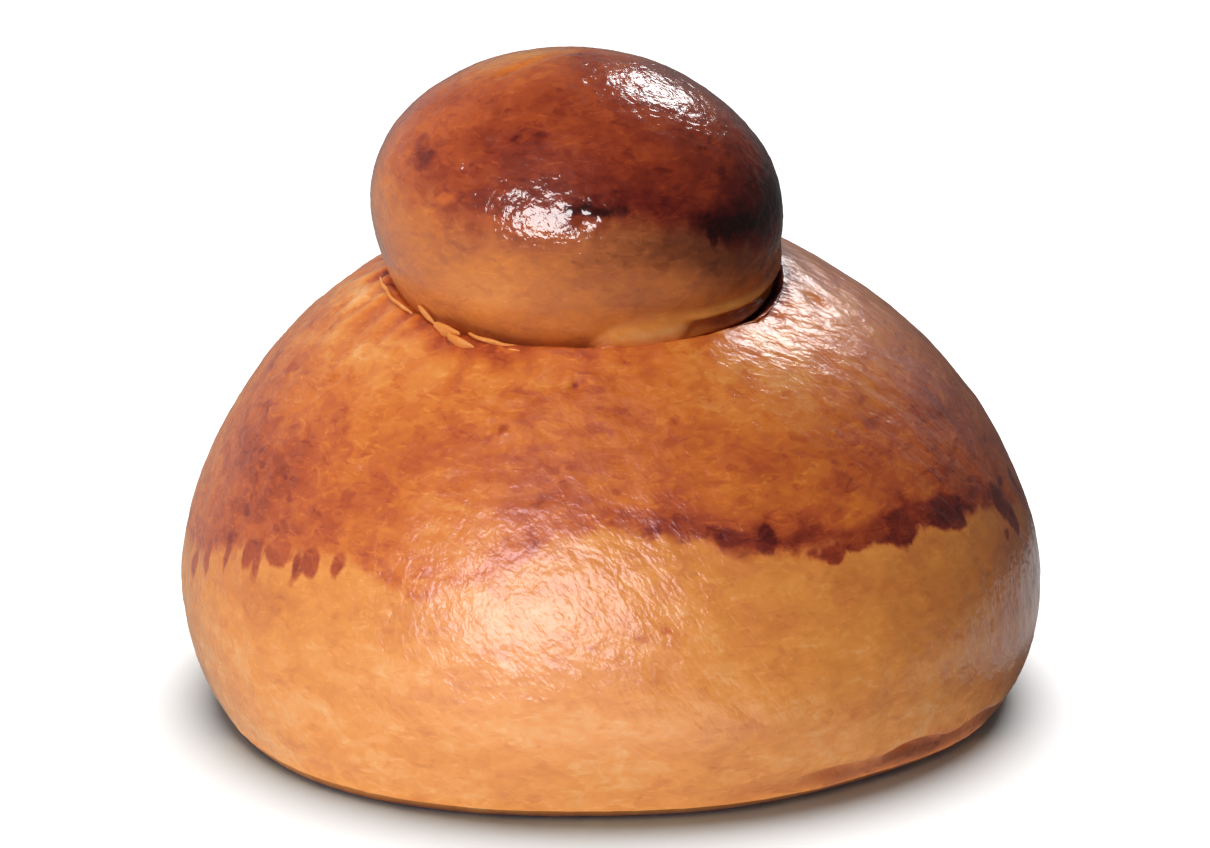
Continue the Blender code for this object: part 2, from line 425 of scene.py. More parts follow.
# The skirt's lower and upper edge around the topknot, in mm above the tray
SKIRT_TURNS = (2, 8, 12, 18, 27, 31, 38, 51, 62, 75, 86)
SKIRT_LOW = (47.6, 47.1, 46.9, 46.9, 47.0, 47.5, 48.0, 48.2, 48.4, 49.2, 51.5)
SKIRT_HIGH = (48.0, 49.0, 49.8, 50.4, 50.8, 50.6, 50.5, 50.6, 51.0, 52.2, 54.5)
SKIRT_START, SKIRT_SPLIT, SKIRT_END = 3.0, 30.0, 90.0         # turns
START_OVER, SPLIT_OVER, END_OVER = 7.0, 12.0, 12.0            # degrees that each one takes
FLAP_THICKNESS = 1.3
FLAP_STEEP, FLAP_FOOT, FLAP_TOP = 5.0, 0.6, 1.25              # steep below, soft above
SKIRT_RIMS = ((0.7, 0.10, 0.15),          # (mm, height and half width as shares of the skirt)
              (0.8, 1.0, 0.16),
              (-0.35, 0.55, 0.3))         # the dip between the two rims


def skirt(points):
    """The flap of skin at the front right: thick and rounded at its left, and at its right two
    thin rims with a dip between them."""
    turn, height = turn_of(points, knot_middle), points[..., 2]
    low = np.interp(turn, SKIRT_TURNS, SKIRT_LOW)
    high = np.interp(turn, SKIRT_TURNS, SKIRT_HIGH)
    share = (height - low) / (high - low)
    flap = smooth_step(share * FLAP_STEEP + FLAP_FOOT) * smooth_step(FLAP_TOP - share)
    rims = sum(rise * hump(share, place, half_width) for rise, place, half_width in SKIRT_RIMS)
    to_right = smooth_step((turn - SKIRT_SPLIT) / SPLIT_OVER)
    window = (smooth_step((turn - SKIRT_START) / START_OVER)
              * smooth_step((SKIRT_END - turn) / END_OVER))
    return window * (FLAP_THICKNESS * flap * (1.0 - to_right) + rims * to_right)


KNOT_SWELLS = ((0.20, 13.0, 11), (0.10, 5.0, 12))
KNOT_BLISTERS = ((0.06, 2.2, 13), (0.04, 1.2, 14))
BLISTERED_FROM, BLISTERED_OVER = 50.0, 8.0          # a height, and the mm above it they take
LEAST_BLISTERED = 0.35                              # the share of them that is left below it
SEAM_HEIGHT = 45.0                                  # below it the hidden skin stays smooth


def knot_relief(points):
    """How far the topknot's skin stands out from the smooth ball, in millimetres."""
    height = points[..., 2]
    glazed = smooth_step((height - BLISTERED_FROM) / BLISTERED_OVER)
    blistered = LEAST_BLISTERED + (1.0 - LEAST_BLISTERED) * glazed
    middle = np.append(knot_middle, 0.0)
    relief = (swells(points, KNOT_SWELLS) + leather(points, KNOT_BLISTERS) * blistered
              + pits(points - middle, KNOT_PITS))
    clear = smooth_step((height - SEAM_HEIGHT) / RELIEF_OVER)
    return relief * clear + skirt(points)


def knot_ring(latitude):
    """One ring of the ball. It is wavy only above the widest ring, and slopes to the right."""
    azimuth = np.arange(AROUND_KNOT) * 2.0 * np.pi / AROUND_KNOT
    uneven = 1.0 + waves(azimuth, KNOT_WAVES) * smooth_step(2.0 * math.sin(latitude))
    x = KNOT_HALF_WIDTH * math.cos(latitude) * uneven * np.cos(azimuth)
    y = KNOT_HALF_DEPTH * math.cos(latitude) * uneven * np.sin(azimuth)
    half_height = KNOT_ABOVE if latitude > 0 else KNOT_BELOW
    z = knot_height + half_height * math.sin(latitude) - KNOT_SLOPE * x
    return np.stack((knot_middle[0] + x, knot_middle[1] + y, z), 1)


knot_rings = np.array([knot_ring(latitude) for latitude in
                       np.linspace(-math.pi / 2, math.pi / 2, KNOT_RINGS + 2)[1:-1]])
knot_stand = knot_relief(knot_rings)
knot_skin = knot_rings + outward(knot_rings) * knot_stand[..., None]
print("topknot relief from", knot_stand.min().round(2), "to", knot_stand.max().round(2), "mm")

# %% [markdown]
# ## Where the oven browned the crust
#
# The colour of the crust is one number, the browning: 0 is pale dough, 1 is nearly burnt. Its
# broad pattern is worked out here for every point and kept on the mesh as an attribute, and
# the material adds the fine mottling later. In a few places it also carries painted shade and
# light: in the seam, the gap and the folds around the topknot, in the base fold, along the foot
# and on the right side.
#
# The clearest mark is the tide line, where the egg wash stopped running down. It is kept as a
# height above that line, so that the material can draw it as crisp as it likes. Small lobes
# hang from it, because wash gathers in drops.

# %% The tide line
# The line around the bun, in mm above the tray
TIDE_TURNS = (-180, -120, -95, -72, -62, -57, -50, -44, -38, -31, -26, -21, -16, -7, 3,
              12, 26, 37, 46, 57, 69, 80, 110, 150, 180)
TIDE_HEIGHTS = (21.0, 18.5, 18.6, 20.1, 22.9, 24.0, 25.5, 25.8, 26.2, 24.8, 23.8, 25.5, 27.4,
                31.0, 31.4, 30.4, 28.0, 27.8, 28.6, 28.2, 25.8, 23.5, 19.5, 20.0, 21.0)


LOBE_TURNS = (-180, -90, -35, -20, 0, 12, 30, 60, 75, 110, 180)
LOBE_DROPS = (0.8, 0.5, 0.3, 0.6, 0.7, 0.9, 1.1, 1.1, 0.8, 0.8, 0.8)      # mm
LOBE_SIZE = 5.5
TIDE_WANDER, TIDE_WANDER_SIZE = 1.1, 9.0
LOBE_MEAN = 0.8               # taken off again, so that the lobes hang around the line


def hanging_lobes(points, size, seed):
    """Rounded drops side by side, with narrow notches between them, from 0 to about 1."""
    return np.sqrt(creases(points * (1.0, 1.0, 0.25), size, seed))


def above_tide(points):
    turn = turn_of(points)
    line = np.interp(turn, TIDE_TURNS, TIDE_HEIGHTS)
    drops = np.interp(turn, LOBE_TURNS, LOBE_DROPS) * hanging_lobes(points, LOBE_SIZE, seed=21)
    wander = TIDE_WANDER * lumps(points * (1.0, 1.0, 0.4), TIDE_WANDER_SIZE, seed=22)
    return points[..., 2] - line + drops + wander - LOBE_MEAN


BENT_ASIDE, BENT_ASIDE_SIZE = 0.8, 2.6    # how far a drop's edge strays, and over what length
BENT_UP, BENT_UP_SIZE = 0.5, 2.2
FAR_OUTSIDE = -3.0                        # mm outside a drop, where it no longer matters
NEARNESS = 3.0                            # how quickly a drop's say fades, per mm


def dried_drops(points, middle, places, rest):
    """For drops of dried wash with a clear edge: how far inside one each point lies, and how
    brown that drop is. Each is (turn, height, half width, half height, tilt, browning), and
    rest is the browning where no drop is near."""
    turn, reach = turn_of(points, middle), distance_from(points, middle)
    bent = BENT_ASIDE * lumps(points, BENT_ASIDE_SIZE, seed=27)
    bent_up = BENT_UP * lumps(points, BENT_UP_SIZE, seed=28)
    depth, nearness, brown = np.full(turn.shape, FAR_OUTSIDE), TINY, rest * TINY
    for direction, level, half_width, half_height, tilt, browning in places:
        aside = np.radians(turn_from(turn, direction)) * reach + bent
        upright = points[..., 2] - level + bent_up
        lean = math.radians(tilt)
        across = aside * math.cos(lean) + upright * math.sin(lean)
        along = upright * math.cos(lean) - aside * math.sin(lean)
        share = np.hypot(across / half_width, along / half_height)
        inside = (1.0 - share) * min(half_width, half_height)
        depth = np.maximum(depth, inside)
        weight = np.exp(NEARNESS * np.clip(inside, FAR_OUTSIDE, None))
        nearness = nearness + weight
        brown = brown + weight * browning
    return depth, brown / nearness


def patches(turn, height, places):
    """Adds up soft-edged patches: (turn, height, half turn, half height, how much browner)."""
    total = np.zeros(turn.shape)
    for direction, level, half_turn, half_height, change in places:
        across = turn_from(turn, direction) / half_turn
        upright = (height - level) / half_height
        total += change * np.exp(-(across**2) - upright**2)
    return total


# %% [markdown]
# The lists below give the gold patch on the left shoulder that the heat reached late, the
# brown cheek at the left, and the dull side at the right. Then come the drops of wash that ran
# to the tide line and dried there: thin fingers at the left, and at the right a belt of dark
# drops with one long drop beyond it.

# %% Browning of the bun
BUN_PATCHES = (
    (-46.0, 43.5, 26.0, 6.0, -0.10),      # gold patch on the left shoulder
    (-80.0, 47.5, 30.0, 4.0, -0.05),      # and on from it, behind the topknot's left
    (45.0, 45.0, 36.0, 5.5, -0.08),       # a paler one on the right shoulder
    (-62.0, 32.0, 20.0, 6.5, 0.12),       # brown cheek at the left
    (-92.0, 30.0, 16.0, 14.0, -0.10),     # paler again beyond it
    (-20.0, 28.5, 14.0, 4.5, -0.08),      # thin wash over the middle of the front
    (-2.0, 40.0, 18.0, 4.0, 0.05),        # browner again in front
    (30.0, 37.0, 20.0, 6.0, 0.01),        # hardly browner to the right of that
    (65.0, 36.0, 18.0, 8.0, 0.14),        # dull brown right side
    (-12.8, 33.1, 5.0, 1.3, 0.08),        # flat oval just over the tide line
)
BARE_PATCHES = (                          # under the tide line
    (48.0, 2.4, 21.0, 1.5, 0.36),         # painted shade inside the base fold
    (40.0, 7.5, 16.0, 3.0, -0.06),        # pale skin drawn tight over it
    (79.0, 18.0, 22.0, 13.0, 0.27),       # painted shade: the right side, away from the light, made browner
    (-60.0, 8.0, 40.0, 8.0, -0.03),       # and a little paler low at the left
    (-57.0, 20.0, 20.0, 4.0, 0.10),       # stained just under the line
    (30.0, 23.5, 22.0, 3.5, 0.06),        # a fainter stain under the belt of drops
    (0.0, 0.0, 720.0, 0.6, 0.40),         # all round, a dark line at the foot: the edge that browned on the tray, darkened further as painted contact shadow
)
BUN_DROPS = (                             # thin fingers at the left
    (-72.6, 19.0, 1.1, 1.7, 0.0, 0.55), (-67.6, 21.2, 0.9, 2.1, 0.0, 0.58),
    (-61.8, 23.2, 0.8, 2.2, 0.0, 0.62), (-56.7, 24.3, 1.0, 2.2, 0.0, 0.62),
    (-54.4, 24.0, 1.1, 2.5, 0.0, 0.64), (-49.7, 25.4, 1.9, 1.8, 0.0, 0.61),
    (-45.7, 24.8, 0.8, 1.7, 0.0, 0.70), (-42.9, 25.6, 1.5, 1.6, 0.0, 0.63),
    (-38.4, 26.1, 1.1, 1.5, 10.0, 0.62),
    # The belt at the right
    (1.6, 33.0, 1.1, 0.8, 0.0, 0.66), (5.5, 32.0, 1.5, 0.65, 5.0, 0.62),
    (8.5, 32.5, 0.6, 0.6, 0.0, 0.64), (12.5, 31.7, 1.1, 1.0, 0.0, 0.68),
    (17.1, 30.9, 2.3, 0.85, -4.0, 0.74), (21.5, 30.5, 1.1, 1.25, 0.0, 0.76),
    (26.5, 29.8, 0.8, 0.6, 0.0, 0.74), (27.7, 28.1, 0.8, 0.5, 0.0, 0.66),
    (31.5, 28.2, 2.2, 1.2, 0.0, 0.70), (35.5, 28.7, 2.4, 1.1, 0.0, 0.72),
    (40.8, 29.2, 2.0, 1.6, 0.0, 0.74), (43.6, 28.9, 2.6, 2.0, 0.0, 0.79),
    (47.0, 29.9, 3.0, 1.2, 0.0, 0.74), (51.5, 29.0, 3.4, 1.5, -12.0, 0.78),
    (55.0, 28.1, 2.4, 1.5, -20.0, 0.80),
    # Specks on the dome and under the line
    (-6.9, 45.0, 0.55, 0.45, 0.0, 0.70), (-18.4, 40.9, 0.5, 0.4, 0.0, 0.60),
    (3.8, 21.4, 0.7, 0.45, 0.0, 0.46), (6.8, 22.1, 0.7, 0.45, 0.0, 0.48),
    # One long drop and its splashes, beyond the belt
    (62.0, 29.2, 1.6, 0.7, 0.0, 0.68), (68.3, 27.2, 1.6, 2.2, 12.0, 0.76),
    (70.8, 24.8, 1.5, 1.8, 30.0, 0.74), (67.1, 23.8, 0.8, 0.5, 0.0, 0.76),
    (72.2, 28.6, 0.8, 0.5, 0.0, 0.76), (78.9, 27.0, 0.9, 1.4, 0.0, 0.76),
)


BELT_TURNS = (-180, -90, -28, -12, 0, 10, 22, 34, 42, 59, 63, 80, 110, 180)
BELT_LEVELS = (0.10, 0.0, 0.0, 0.02, 0.10, 0.16, 0.20, 0.22, 0.28, 0.26, 0.16, 0.14, 0.12,
               0.10)
BELT_TALL, BELT_FADE = 4.6, 2.2           # mm
TALL_MEAN, TALL_SWING, TALL_SIZE = 0.75, 0.5, 5.0
BROKEN_MEAN, BROKEN_SWING, BROKEN_SIZE = 0.78, 0.42, 3.2
FINER_SWING, FINER_SIZE = 0.28, 1.7
BROKEN_LEAST, BROKEN_MOST = 0.15, 1.15


def belt(points, tide):
    """The dark belt of gathered wash over the tide line, broken up into drops."""
    strength = np.interp(turn_of(points), BELT_TURNS, BELT_LEVELS)
    tall = BELT_TALL * (TALL_MEAN + TALL_SWING * lumps(points, TALL_SIZE, seed=23))
    band = smooth_step((tall - tide) / BELT_FADE)
    broken = (BROKEN_MEAN + BROKEN_SWING * lumps(points, BROKEN_SIZE, seed=24)
              + FINER_SWING * lumps(points, FINER_SIZE, seed=25))
    return strength * band * np.clip(broken, BROKEN_LEAST, BROKEN_MOST)


BUN_LEVEL, BUN_BARE_LEVEL = 0.48, 0.30    # the mean browning above and below the tide line
PALER_CROWN = 0.06                        # the crown was washed thinly
CROWN_FROM, CROWN_OVER = 36.0, 14.0       # its height, and the mm over which it sets in
BACK_BROWNER, BACK_HALF = 0.05, 70.0
# painted shade along the seam and under the torn leaves
SEAM_SHADE_PAINTED, SEAM_DISTANCE, SEAM_WIDTH = 0.13, 20.5, 2.6       # distances from the knot's axis
LEAF_SHADE_PAINTED, LEAF_TURN, LEAF_HALF = 0.09, -36.0, 28.0
# painted shade deep in the gap beside the topknot
GAP_SHADE_PAINTED, GAP_TURN, GAP_HALF = 0.42, 78.0, 14.0
GAP_DISTANCE, GAP_WIDTH = 22.6, 1.7
# painted light and shade on the puckered folds
PUCKER_LIGHT_AND_SHADE = 0.27
BUN_DROP_LEVEL = 0.7


def bun_browning(points):
    turn, height = turn_of(points), points[..., 2]
    distance = distance_from(points, knot_middle)
    knot_side = turn_of(points, knot_middle)
    # Painted shade: the crust is made browner along the seam, most of all around the torn
    # leaves.
    seam_shade = SEAM_SHADE_PAINTED + LEAF_SHADE_PAINTED * hump(knot_side, LEAF_TURN, LEAF_HALF)
    lip = hump(distance, SEAM_DISTANCE, SEAM_WIDTH) * seam_shade
    level = BUN_LEVEL - PALER_CROWN * smooth_step((height - CROWN_FROM) / CROWN_OVER) + lip
    back = BACK_BROWNER * hump(turn_from(turn, 180.0), 0.0, BACK_HALF)
    # Painted shade: the gap beside the topknot at the front right is made nearly burnt, as it
    # lies deep in shade.
    gap = hump(knot_side, GAP_TURN, GAP_HALF) * hump(distance, GAP_DISTANCE, GAP_WIDTH)
    level = level + GAP_SHADE_PAINTED * gap
    # Painted light and shade on the folds around the topknot: paler along their ridges, browner
    # in their hollows.
    fold, strength = puckers(points)
    level = level - PUCKER_LIGHT_AND_SHADE * fold * strength
    return level + back + belt(points, above_tide(points)) + patches(turn, height, BUN_PATCHES)


def bun_marks(points):
    """Everything the material needs to know at each point of the bun."""
    drops, drop_browning = dried_drops(points, (0.0, 0.0), BUN_DROPS, BUN_DROP_LEVEL)
    return {"tide": above_tide(points), "browning": bun_browning(points),
            "bare": BUN_BARE_LEVEL + patches(turn_of(points), points[..., 2], BARE_PATCHES),
            "drops": drops, "drop_browning": drop_browning}


# %% [markdown]
# The topknot has a tide line of its own. Above it the crust is mahogany, darkest at the right
# where it faced the oven's hot side, and a ragged edge of nearly black drops hangs there.

# %% Browning of the topknot
KNOT_TIDE_TURNS = (-180, -110, -73, -54, -41, -27, -15, 4, 18, 30, 43, 61, 78, 110, 180)
KNOT_TIDE_HEIGHTS = (60.0, 62.0, 64.5, 63.2, 61.8, 61.3, 60.8, 62.0, 62.4, 60.6, 58.6,
                     57.0, 56.6, 57.0, 60.0)
KNOT_PATCHES = (
    (-60.0, 66.0, 40.0, 7.0, -0.13),      # left side baked less
    (-90.0, 62.0, 45.0, 12.0, -0.17),     # and still less beyond it
    (-75.0, 73.0, 25.0, 4.0, -0.04),
    (-95.0, 76.0, 85.0, 3.6, -0.20),      # and so did the top, towards the back
    (-35.0, 75.5, 40.0, 2.2, 0.01),
    (180.0, 76.0, 120.0, 1.3, -0.18),
    (-30.0, 70.0, 26.0, 4.0, 0.02),       # brick red over the front
    (8.0, 68.0, 24.0, 4.0, -0.02),
    (64.0, 64.5, 28.0, 5.5, 0.07),        # the side that faced the heat
    (44.0, 60.4, 12.0, 1.9, 0.19),        # nearly burnt along the line
    (66.0, 60.6, 16.0, 2.8, 0.21),
)
KNOT_BARE_PATCHES = (                     # under the tide line
    (28.0, 59.0, 14.0, 2.8, 0.20),        # a brown veil under the line
    (8.0, 58.0, 16.0, 3.4, 0.09),
    (16.0, 54.5, 20.0, 3.0, 0.02),
    (48.0, 56.0, 18.0, 4.5, 0.22),        # and the side that faced the heat
    (72.0, 56.0, 14.0, 4.0, 0.14),
    (22.0, 48.8, 15.0, 1.8, -0.29),       # pale stretched skin along the skirt
    (40.0, 49.3, 9.0, 1.3, -0.22),
    (-28.0, 53.0, 20.0, 4.0, -0.11),
    (32.0, 54.0, 12.0, 2.5, -0.10),
    (56.0, 50.8, 22.0, 0.9, -0.20),
    (-16.0, 46.0, 40.0, 2.0, 0.10),       # painted shade in the crease at the seam
    (-55.0, 57.0, 24.0, 3.0, 0.05),
)
KNOT_DROPS = (
    (-57.0, 68.2, 1.3, 1.0, 0.0, 0.66), (-53.0, 66.9, 2.6, 0.8, 8.0, 0.66),
    (-21.5, 70.1, 0.5, 0.35, 0.0, 0.82), (-12.3, 70.6, 0.5, 0.3, 0.0, 0.78),
    (-34.1, 67.4, 0.45, 0.4, 0.0, 0.78), (-38.8, 63.5, 1.2, 0.6, 15.0, 0.46),
    (6.5, 63.6, 2.8, 0.65, -4.0, 0.92),               # short dark dash in front
    (40.8, 60.2, 1.0, 1.6, 0.0, 0.95),                # one hanging drop
)


KNOT_LOBES, KNOT_LOBE_SIZE, KNOT_LOBE_MEAN = 1.3, 4.5, 0.5
KNOT_WANDER, KNOT_WANDER_SIZE = 1.3, 6.0
CRISP_TURNS = (-180, -60, 5, 25, 40, 90, 180)
CRISPNESS = (0.3, 0.2, 0.35, 0.6, 1.0, 1.0, 0.3)      # the line is blurred except at the right


def above_knot_tide(points):
    turn = turn_of(points, knot_middle)
    line = np.interp(turn, KNOT_TIDE_TURNS, KNOT_TIDE_HEIGHTS)
    drops = KNOT_LOBES * hanging_lobes(points, KNOT_LOBE_SIZE, seed=31)
    wander = KNOT_WANDER * lumps(points * (1.0, 1.0, 0.5), KNOT_WANDER_SIZE, seed=32)
    crisp = np.interp(turn, CRISP_TURNS, CRISPNESS)
    return (points[..., 2] - line + drops + wander - KNOT_LOBE_MEAN) * crisp


KNOT_LEVEL, KNOT_BARE_LEVEL, KNOT_DROP_LEVEL = 0.69, 0.48, 0.9
KNOT_BELT, KNOT_BELT_HEIGHT, KNOT_BELT_HALF = 0.03, 64.0, 3.0


def knot_browning(points):
    turn, height = turn_of(points, knot_middle), points[..., 2]
    level = KNOT_LEVEL + KNOT_BELT * hump(height, KNOT_BELT_HEIGHT, KNOT_BELT_HALF)
    return level + patches(turn, height, KNOT_PATCHES)


def knot_marks(points):
    """The same marks for the topknot, measured around its own axis."""
    turn = turn_of(points, knot_middle)
    drops, drop_browning = dried_drops(points, knot_middle, KNOT_DROPS, KNOT_DROP_LEVEL)
    return {"tide": above_knot_tide(points), "browning": knot_browning(points),
            "bare": KNOT_BARE_LEVEL + patches(turn, points[..., 2], KNOT_BARE_PATCHES),
            "drops": drops, "drop_browning": drop_browning}


# %% [markdown]
# ## From rings to a closed skin
#
# Each pair of neighbouring rings is joined by a band of four-cornered faces, and a pole point
# closes each end. The same function makes the bun, the topknot and every torn leaf of skin.
# On the two crusts it also writes the browning marks onto the mesh, for the material to read.

# %% Skin over rings


def ring_faces(count, around, first):
    """Faces over a stack of rings whose points start at index first, with a pole at each end."""
    top = first + 1 + count * around
    faces = []
    for j in range(around):
        k = (j + 1) % around
        faces.append((first, first + 1 + k, first + 1 + j))
        faces.append((top, top - around + j, top - around + k))
        for i in range(count - 1):
            low = first + 1 + i * around
            faces.append((low + j, low + k, low + around + k, low + around + j))
    return faces


def skin_over(name, stacks, marks_at=None):
    """One object from stacks of rings, each with its two poles. marks_at gives the marks to
    keep on its points, if there are any."""
    points, faces = [], []
    for rings, first_pole, last_pole in stacks:
        faces += ring_faces(len(rings), rings.shape[1], len(points))
        points += [first_pole, *rings.reshape(-1, 3), last_pole]
    points = np.array(points)
    mesh = bpy.data.meshes.new(name)
    mesh.from_pydata(((points + (*bun_axis, 0.0)) * MM).tolist(), [], faces)
    mesh.shade_smooth()
    marks = marks_at(points) if marks_at else {}
    for mark, values in marks.items():
        print(name, mark, "from", values.min().round(2), "to", values.max().round(2))
        kept = mesh.attributes.new(mark, "FLOAT", "POINT")
        kept.data.foreach_set("value", values.astype(np.float32))
    piece = bpy.data.objects.new(name, mesh)
    bpy.context.scene.collection.objects.link(piece)
    print(name, len(mesh.vertices), "points", len(mesh.polygons), "faces")
    return piece


# %% [markdown]
# ## Leaves of torn skin in the seam
#
# As the loaf rose, the topknot pulled at the skin around it. At the left and in front the skin
# tore into a few pale leaves that lie in the seam. Each is a thin closed blade: a line of
# flat oval sections that shrink towards both ends.
#
# A leaf is given by turns around the topknot, distances from its axis, and heights. It could
# be cut out of the bun's own skin, but a separate blade casts the fine shadow under its edge.

# %% One leaf
LEAF_STATIONS = 40
LEAF_AROUND = 14
AVERAGED = 3                  # stations on each side that smooth a leaf's line
LEAF_ENDS = 0.04              # how much of the sine is cut off at each end
LEAF_RAGGED, LEAF_RAGGED_SIZE = 0.18, 2.6
LEAF_ROUGH, LEAF_ROUGH_SIZE = 0.12, 1.6


def spread(values, count):
    """A smooth run of count values through the given ones, evenly spaced."""
    known = np.linspace(0.0, 1.0, len(values))
    wanted = np.linspace(0.0, 1.0, count)
    through = np.interp(wanted, known, values)
    ends = np.pad(through, AVERAGED, mode="edge")
    window = 2 * AVERAGED + 1
    return np.convolve(ends, np.ones(window) / window, mode="valid")


def leaf(turns, distances, heights, half_widths, half_thickness, tilt):
    """tilt is the angle in degrees of the blade from lying flat; 90 stands it up, and more
    leans its top edge towards the topknot."""
    turn = np.radians(spread(turns, LEAF_STATIONS))
    distance = spread(distances, LEAF_STATIONS)
    half_width = spread(half_widths, LEAF_STATIONS)
    outwards = np.stack((np.sin(turn), -np.cos(turn), np.zeros(LEAF_STATIONS)), 1)
    spine = outwards * distance[:, None]
    spine[:, :2] += knot_middle
    spine[:, 2] = spread(heights, LEAF_STATIONS)
    ragged = 1.0 + LEAF_RAGGED * lumps(spine, LEAF_RAGGED_SIZE, seed=42)
    along = np.linspace(LEAF_ENDS, 1.0 - LEAF_ENDS, LEAF_STATIONS)
    fullness = np.sin(np.pi * along) ** 0.5
    up = np.array((0.0, 0.0, 1.0))
    lean = math.radians(tilt)
    blade = outwards * math.cos(lean) + up * math.sin(lean)
    through = -outwards * math.sin(lean) + up * math.cos(lean)
    # The sections run clockwise along the leaf, so that its faces look outwards.
    angle = -np.arange(LEAF_AROUND) * 2.0 * np.pi / LEAF_AROUND
    rings = []
    for i in range(LEAF_STATIONS):
        wide = half_width[i] * ragged[i] * fullness[i] * np.cos(angle)
        thick = half_thickness * fullness[i] * np.sin(angle)
        rings.append(spine[i] + wide[:, None] * blade[i] + thick[:, None] * through[i])
    rings = np.array(rings)
    rings += LEAF_ROUGH * lumps(rings, LEAF_ROUGH_SIZE, seed=41)[..., None]
    return rings, rings[0].mean(axis=0), rings[-1].mean(axis=0)


# %% The leaves
LEAVES = (
    leaf((-57, -54, -50), (20.9, 20.7, 20.4), (50.1, 49.4, 48.7), (0.5, 0.6, 0.4), 0.25, 70.0),
    leaf((-49, -43, -37), (20.9, 21.1, 21.0), (48.7, 48.5, 48.4), (0.6, 0.75, 0.5), 0.35, 80.0),
    leaf((-42, -37, -31), (21.2, 21.5, 21.4), (47.9, 47.5, 47.1), (0.7, 0.95, 0.7), 0.35, 75.0),
    leaf((-35, -22, -8), (20.9, 20.5, 20.0), (48.6, 47.7, 46.7), (0.35,), 0.25, 70.0),
    leaf((-22, -16, -9), (21.0, 21.3, 21.4), (47.4, 46.9, 46.6), (0.5, 0.7, 0.5), 0.3, 70.0),
    leaf((-90, -77, -60), (22.3, 21.7, 20.9), (50.7, 50.0, 49.0), (0.3,), 0.2, 80.0),
)

# %% The three pieces
bun = skin_over("bun_crust", [(bun_skin, (0.0, 0.0, 0.0), bun_skin[-1].mean(axis=0))], bun_marks)
knot_stack = (knot_skin, knot_skin[0].mean(axis=0), knot_skin[-1].mean(axis=0))
knot = skin_over("topknot_crust", [knot_stack], knot_marks)
leaves = skin_over("seam_leaves", LEAVES)

# %% [markdown]
# ## Riding on the frame
#
# Each new skin takes the place of its CAD node and moves with the frame's only body. The
# leaves belong to the bun's crust.

# %% Ride and replace
for piece, node, slot in ((bun, "bun", "golden_crust"), (knot, "topknot", "mahogany_crust")):
    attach(piece, "root")
    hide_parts(node)
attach(leaves, "root")

# %% [markdown]
# ## Colours of a baked crust
#
# Crust browns in steps: butter yellow, gold, orange brown, red brown, mahogany, and at last a
# brown that is nearly black. Egg browns redder than plain dough does, because its proteins
# and sugars colour early, so crust that no egg reached has steps of its own. They are the same
# up to gold and duller from there. The steps are written as sRGB hex values, which is how a
# colour picker shows them, and turned into the linear numbers that the renderer works with.

# %% Hex to linear


def linear(hex_colour):
    parts = [int(hex_colour[i:i + 2], 16) / 255.0 for i in (1, 3, 5)]
    return [p / 12.92 if p <= 0.04045 else ((p + 0.055) / 1.055) ** 2.4 for p in parts] + [1.0]


WASHED_COLOURS = (          # (browning, colour) of crust under egg wash
    (0.00, "#f6cf94"),
    (0.14, "#f2b070"),      # pale gold
    (0.28, "#ea9444"),      # gold
    (0.42, "#d9742c"),      # orange brown
    (0.55, "#bd5628"),      # red brown
    (0.68, "#95381e"),
    (0.80, "#6b2016"),      # mahogany
    (0.91, "#430f0c"),
    (1.00, "#260706"),      # nearly burnt
)
BARE_COLOURS = (            # and of crust that the wash never touched
    (0.00, "#f6cf94"),      # torn dough
    (0.14, "#f2b070"),
    (0.28, "#ea9444"),
    (0.42, "#d67c3a"),      # from here on duller than washed crust
    (0.55, "#b96739"),
    (0.68, "#8e4b2b"),
    (0.80, "#663420"),
    (1.00, "#2a140d"),
)
for place, colour in WASHED_COLOURS[:3]:
    print("browning", place, "is", colour, "or", [round(part, 3) for part in linear(colour)[:3]])

# %% [markdown]
# ## Adding nodes
#
# One function adds any node. Settings are the node's own options, and inputs are numbers,
# colours or another node. When a whole node is given, its first output in use is linked.

# %% The node helper


def add(tree, kind, inputs=None, **settings):
    node = tree.nodes.new("ShaderNode" + kind)
    for name, value in settings.items():
        setattr(node, name, value)
    for socket, value in (inputs or {}).items():
        if isinstance(value, bpy.types.Node):
            value = next(output for output in value.outputs if output.enabled)
        if isinstance(value, bpy.types.NodeSocket):
            tree.links.new(value, node.inputs[socket])
        else:
            node.inputs[socket].default_value = value
    return node


def new_material(name):
    material = bpy.data.materials.new(name)
    material.use_nodes = True
    material.node_tree.nodes.clear()
    return material, material.node_tree


def millimetres(tree, drawn=(1.0, 1.0, 1.0), turned=(0.0, 0.0, 0.0)):
    """Object coordinates in millimetres. A pattern comes out drawn by these factors along the
    three axes, after the axes are turned by these degrees."""
    place = add(tree, "TexCoord").outputs["Object"]
    return add(tree, "Mapping", {"Vector": place, "Scale": [share * MM for share in drawn],
                                 "Rotation": [math.radians(angle) for angle in turned]},
               vector_type="TEXTURE")


# %% [markdown]
# ## Mottling
#
# Seen close, crust is never one brown. Bubbles under the skin, uneven heat, and wash that
# spilled and dried leave patches of nearly even colour with soft edges. Each pattern is a
# noise of its own size, passed through a step, so that it has two tones and an edge between
# them.
#
# Small marks come on top: dark spots where a bubble scorched, dark curls and pale wisps where
# the skin wrinkled, and pale veins. The veins are the rims of dried spills. A Voronoi pattern
# gives their cells, a noise bends them, and another noise fades most of them away.

# %% Mottling of the crust
BLOTCH, MOTTLE, FLECK, SPILL = 7.0, 2.8, 0.9, 3.4       # sizes in mm
SPOT, CURL, WISP, VEIN_FADE = 2.4, 1.7, 1.5, 4.0
SPILL_BEND = 3.0              # mm by which the spills' rims are bent
WIDE, FLAT = (1.3, 1.3, 0.75), (1.7, 1.7, 0.6)          # marks lie wider than they are tall


